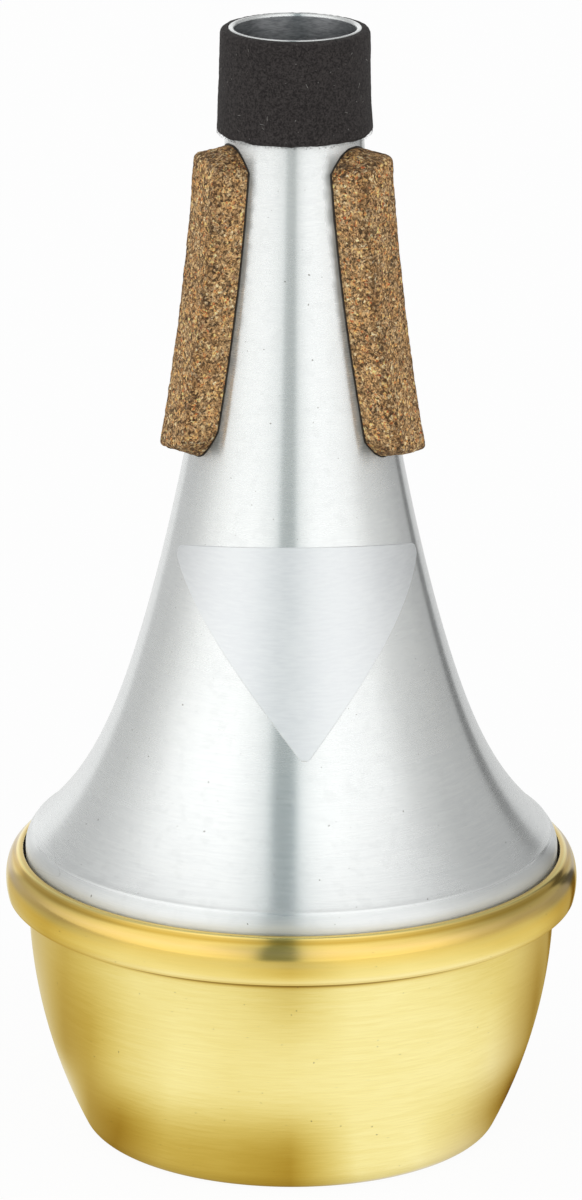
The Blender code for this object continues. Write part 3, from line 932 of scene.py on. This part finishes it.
def make_glue(name, spec, material, top, bottom):
    """Dark line of contact cement squeezed out around a cork strip's foot."""
    outline = [(across, 1.0) for across in np.linspace(1, -1, 15)]
    outline += [(-1.0, share) for share in np.linspace(1, 0, 30)[1:-1]]
    outline += [(across, 0.0) for across in np.linspace(-1, 1, 15)]
    outline += [(1.0, share) for share in np.linspace(0, 1, 30)[1:-1]]
    seats = [cork_place(spec, across, 0.0, share, top, bottom) for across, share in outline]
    bm = bmesh.new()
    rings = []
    count = len(seats)
    for i, seat in enumerate(seats):
        run = (seats[(i + 1) % count] - seats[i - 1]).normalized()
        away = Vector((seat.x, seat.y, 0)).normalized()
        out = run.cross(away).normalized()
        swell = 1 + 0.5 * noise.noise(seat * 900 + Vector((spec["azimuth"], 0, 0)))
        ring = []
        for step in range(6):
            angle = math.tau * step / 6
            reach = 0.00017 * swell * math.cos(angle)
            level = 0.00012 * swell * math.sin(angle)
            point = seat + out * reach
            radius = body_radius(point.z) + max(level, -0.00002)
            flat = Vector((point.x, point.y, 0)).normalized() * radius
            ring.append(bm.verts.new((flat.x, flat.y, point.z)))
        rings.append(ring)
    for low, high in zip(rings, rings[1:] + rings[:1]):
        for i in range(6):
            j = (i + 1) % 6
            bm.faces.new((low[i], low[j], high[j], high[i]))
    glue = add_object("cement_line_" + name, bm, material)
    glue.rotation_euler.z = math.radians(spec["azimuth"])


def make_corks():
    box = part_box("cork_rear")
    bottom, top = box[0][2], box[1][2]
    cork = cork_material()
    cement = dull_material("contact_cement", (0.030, 0.022, 0.014), 0.5)
    for name, spec in CORKS.items():
        make_cork(name, spec, cork, top, bottom)
        make_glue(name, spec, cement, top, bottom)
    return bottom


# The label

def label_outline(steps_down, corner_steps):
    radius = LABEL_CORNER_RADIUS
    half = LABEL_WIDTH / 2 - radius
    turn = math.degrees(math.atan2(half, LABEL_HEIGHT - 2 * radius))
    top = arc((half, radius), (radius, radius), -90, turn, corner_steps)
    tip = arc((0, LABEL_HEIGHT - radius), (radius, radius), turn, 90, corner_steps)
    steps = np.linspace(0, 1, steps_down + 1)[1:-1]
    (a, b), (c, d) = top[-1], tip[0]
    return top + [(a + (c - a) * s, b + (d - b) * s) for s in steps] + tip[:-1]


def make_label(corks_bottom):
    """Blank foil label laid on the flare."""
    label_top = corks_bottom - LABEL_BELOW_CORKS
    heights = np.linspace(label_top, FLARE_FOOT_HEIGHT, 400)
    lengths = np.hypot(np.diff(heights), np.diff(body_radius(heights)))
    travelled = np.concatenate([[0], np.cumsum(lengths)])
    to_apex = body_radius(label_top) / math.sin(math.atan(body_slope(label_top)))
    bm = bmesh.new()
    grids = ([], [])
    tilt = Matrix.Rotation(math.radians(LABEL_TILT), 2)
    pivot = Vector((0, LABEL_HEIGHT / 3))
    for half, drop in label_outline(60, 8):
        for grid, distance, inset in zip(grids, (LABEL_LIFT, LABEL_LIFT + LABEL_THICKNESS), (0.0, LABEL_BEVEL)):
            row = []
            reach = max(half - inset, 0.8 * half)
            level_down = min(max(drop, inset), LABEL_HEIGHT - 1.4 * inset)
            for step in np.linspace(-reach, reach, 61):
                across, down = tilt @ (Vector((step, level_down)) - pivot) + pivot
                slant = math.hypot(across, to_apex + down)
                height = float(np.interp(slant - to_apex, travelled, heights))
                azimuth = math.atan2(across, to_apex + down) * slant / body_radius(height)
                radius, level = off_body(height, distance)
                row.append(bm.verts.new((radius * math.cos(azimuth), radius * math.sin(azimuth), level)))
            grid.append(row)
    low, high = grids
    rows, columns = len(low), len(low[0])
    for i in range(rows - 1):
        for j in range(columns - 1):
            for grid in grids:
                bm.faces.new((grid[i][j], grid[i][j + 1], grid[i + 1][j + 1], grid[i + 1][j]))
    rim = [(0, j) for j in range(columns)]
    rim += [(i, columns - 1) for i in range(1, rows)]
    rim += [(rows - 1, j) for j in range(columns - 2, -1, -1)]
    rim += [(i, 0) for i in range(rows - 2, 0, -1)]
    for (i, j), (k, m) in zip(rim, rim[1:] + rim[:1]):
        bm.faces.new((low[i][j], low[k][m], high[k][m], high[i][j]))
    label = add_object("blank_label", bm, label_material())
    label.rotation_euler.z = math.radians(LABEL_AZIMUTH)
    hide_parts("label")


# The studio

def studio_axes():
    """Level directions from the mute towards the camera, and to the camera's right."""
    azimuth = math.radians(CAMERA_AZIMUTH)
    front = Vector((math.cos(azimuth), math.sin(azimuth), 0))
    return front, Vector((-front.y, front.x, 0))


def by_bearing(nodes, bearing, bearings, levels):
    """A brightness that runs around the mute."""
    first, last = bearings[0], bearings[-1]
    around = nodes.span(bearing, first, last, smooth=False)
    places = [(angle - first) / (last - first) for angle in bearings]
    return nodes.ramp(around, [(place, (level,) * 3) for place, level in zip(places, levels)])


def make_floor():
    """White floor. The camera sees it almost white, with the mute's soft shadow."""
    bm = bmesh.new()
    bmesh.ops.create_grid(bm, x_segments=1, y_segments=1, size=FLOOR_HALF_SIZE)
    mesh = bpy.data.meshes.new("floor")
    bm.to_mesh(mesh)
    bm.free()
    material, nodes = new_material("floor_white")
    front_axis, right_axis = studio_axes()
    place = nodes.add("ShaderNodeTexCoord").outputs["Object"]
    front = nodes.vector("DOT_PRODUCT", place, front_axis)
    right = nodes.vector("DOT_PRODUCT", place, right_axis)
    distance = nodes.vector("LENGTH", place)
    bearing = nodes.math("DEGREES", nodes.math("ARCTAN2", right, front))
    near, middle, far = [
        by_bearing(nodes, bearing, BEARINGS, levels) for levels in (NEAR_FLOOR, MIDDLE_FLOOR, FAR_FLOOR)
    ]
    level = nodes.mix(nodes.span(distance, *NEAR_TO_MIDDLE), near, middle)
    level = nodes.mix(nodes.span(distance, *MIDDLE_TO_FAR), level, far)
    warmth = nodes.span(distance, *WARMTH_FADE, 1.0, 0.0)
    red_power = nodes.math("MULTIPLY_ADD", warmth, -0.3, 1.0)
    blue_power = nodes.math("MULTIPLY_ADD", warmth, 1.2, 1.0)
    look = nodes.add(
        "ShaderNodeCombineColor",
        {
            "Red": nodes.math("POWER", level, red_power),
            "Green": level,
            "Blue": nodes.math("POWER", level, blue_power),
        },
    ).outputs[0]
    path = nodes.add("ShaderNodeLightPath").outputs
    mirrored = nodes.math("MAXIMUM", path["Is Glossy Ray"], path["Is Transmission Ray"])
    look = nodes.mix(mirrored, (1, 1, 1, 1), look)
    seen = nodes.math("MULTIPLY", path["Is Camera Ray"], FLOOR_WHITE_TO_CAMERA)
    seen = nodes.math("MAXIMUM", seen, mirrored)
    matt = nodes.add("ShaderNodeBsdfDiffuse", {"Color": (*FLOOR_COLOR, 1)})
    white = nodes.add("ShaderNodeEmission", {"Color": look, "Strength": 1.0})
    both = nodes.add("ShaderNodeMixShader", {0: seen, 1: matt.outputs[0], 2: white.outputs[0]})
    close_material(nodes, both)
    mesh.materials.append(material)
    floor = bpy.data.objects.new("floor", mesh)
    bpy.context.scene.collection.objects.link(floor)


def make_world():
    """Two large soft lights, left and right, with a gap between them over the camera."""
    world = bpy.data.worlds.new("studio")
    bpy.context.scene.world = world
    world.use_nodes = True
    nodes = Nodes(world.node_tree)
    front_axis, right_axis = studio_axes()
    aim = nodes.add("ShaderNodeTexCoord").outputs["Generated"]
    front = nodes.vector("DOT_PRODUCT", aim, front_axis)
    right = nodes.vector("DOT_PRODUCT", aim, right_axis)
    up = nodes.add("ShaderNodeSeparateXYZ", {"Vector": aim}).outputs["Z"]
    bearing = nodes.math("DEGREES", nodes.math("ARCTAN2", right, front))
    low = by_bearing(nodes, bearing, BEARINGS, LOW_WALL)
    high = by_bearing(nodes, bearing, BEARINGS, HIGH_WALL)
    level = nodes.mix(nodes.span(up, *WALL_BLEND), low, high)
    above = nodes.math("MAXIMUM", up, 0.0)
    ceiling = nodes.span(front, *CEILING_TO_REAR, CEILING_LEVEL * CEILING_REAR_LEVEL, CEILING_LEVEL)
    level = nodes.mix(nodes.math("POWER", above, CEILING_POWER), level, ceiling)
    ahead = nodes.math("MAXIMUM", front, 0.0)
    overhead = nodes.math("MULTIPLY", nodes.math("POWER", above, GAP_OVERHEAD_POWER), GAP_OVERHEAD)
    forward = nodes.add("ShaderNodeCombineXYZ", {"X": ahead, "Y": overhead}).outputs[0]
    forward = nodes.vector("LENGTH", forward)
    gap_bearing = nodes.math("DEGREES", nodes.math("ARCTAN2", right, forward))
    gap = by_bearing(nodes, gap_bearing, *zip(*GAP_STOPS))
    gap = nodes.add("ShaderNodeSeparateColor", {"Color": gap}).outputs["Green"]
    gap = nodes.add(
        "ShaderNodeCombineColor",
        {
            "Red": nodes.math("POWER", gap, GAP_RED_POWER),
            "Green": gap,
            "Blue": nodes.math("POWER", gap, GAP_BLUE_POWER),
        },
    ).outputs[0]
    level = nodes.mix(1.0, level, gap, blend="MULTIPLY")
    studio = nodes.add("ShaderNodeBackground", {"Color": level, "Strength": 1.0})
    white = nodes.add("ShaderNodeBackground", {"Color": (1, 1, 1, 1), "Strength": 1.0})
    path = nodes.add("ShaderNodeLightPath")
    both = nodes.add(
        "ShaderNodeMixShader",
        {0: path.outputs["Is Camera Ray"], 1: studio.outputs[0], 2: white.outputs[0]},
    )
    nodes.add("ShaderNodeOutputWorld", {"Surface": both.outputs[0]})


make_camera()
make_floor()
make_world()
make_body()
make_bowl()
make_felt()
make_label(make_corks())

# The ring in the seam is given a dark matt colour, which draws the seam as a thin dark line
seam_ring_node = bpy.data.objects.get("seam_sealant")
seam_ring_node.data.materials.clear()
seam_ring_node.data.materials.append(dull_material("seam_ring_dark", (0.08, 0.07, 0.055), 0.6))

bpy.context.scene.view_settings.view_transform = "Standard"
